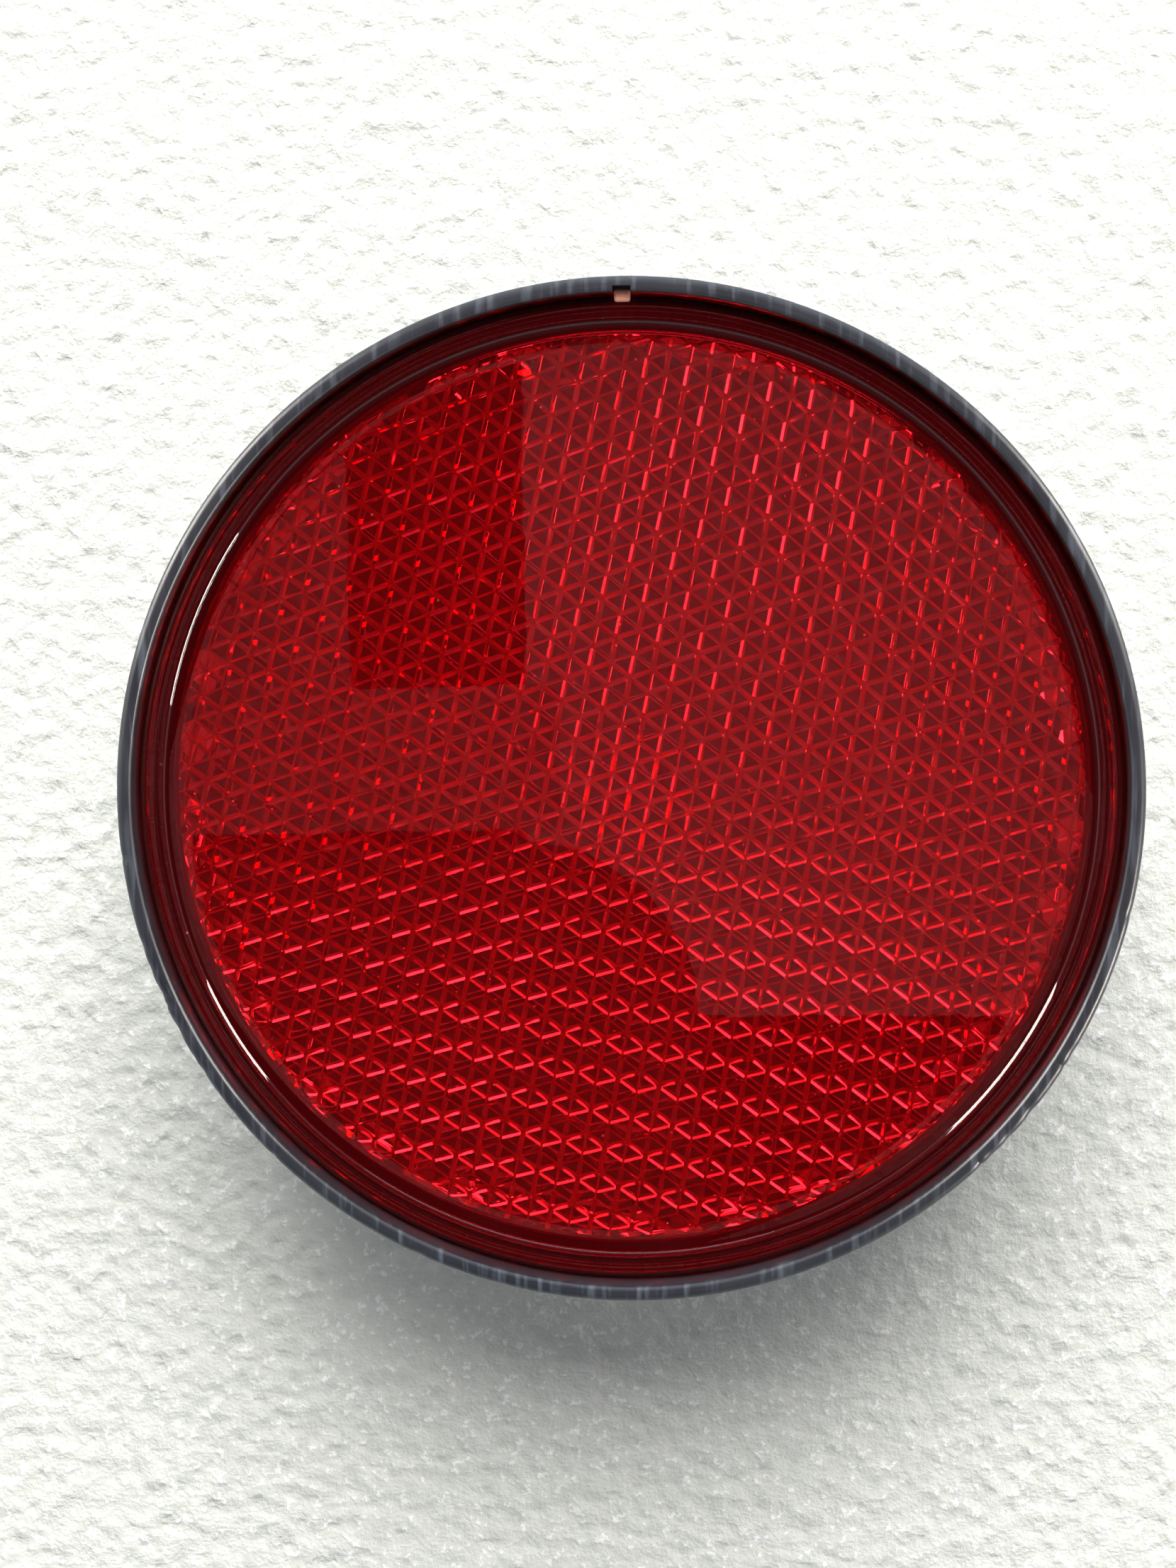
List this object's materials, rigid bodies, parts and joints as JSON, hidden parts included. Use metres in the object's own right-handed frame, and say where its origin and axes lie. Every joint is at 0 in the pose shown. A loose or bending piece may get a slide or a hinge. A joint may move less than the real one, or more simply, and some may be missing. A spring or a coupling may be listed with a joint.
{
  "type": "round screw-mounted reflex reflector",
  "caption": "Round red reflector: clear-faced acrylic lens with a cube-corner back, welded in a black cup, with a captive bolt, washers and a nut for fixing it to a post, stake or panel.",
  "frame": {"origin": "centre of the flat back seating face, on the bolt's axis", "axes": "+Z out of the lens, along the light's way back; +Y towards the lens's moulding gate; the bolt's shank runs along -Z"},
  "size_m": [0.06, 0.06, 0.026],
  "materials": {
    "housing": "moulded black ABS, satin, rubbed shinier on the rim",
    "lens": "clear red acrylic, polished front, sharp cube-corner back",
    "bolt": "bright zinc plate on rolled steel",
    "flat_washer": "bright zinc plate, tumbled edges",
    "lock_washer": "zinc-plated spring steel, slightly duller",
    "nut": "bright zinc plate on cold-formed steel"
  },
  "bodies": {
    "reflector": {"housing": "housing", "lens": "lens", "bolt": "bolt"},
    "washers": {"flat_washer": "flat_washer", "lock_washer": "lock_washer"},
    "nut": {"nut": "nut"}
  },
  "joints": [
    {"name": "nut_travel", "type": "slide", "parent": "reflector", "child": "washers", "axis": [0, 0, -1], "range_m": [-0.0022, 0.0113]},
    {"name": "nut_turn", "type": "hinge", "parent": "washers", "child": "nut", "pos_m": [0, 0, -0.0068], "axis": [0, 0, -1], "range_deg": [-990.1, 5085.1]}
  ],
  "couplings": [
    {"joint": "nut_turn", "follows": "nut_travel", "rad_per_m": 7854}
  ]
}
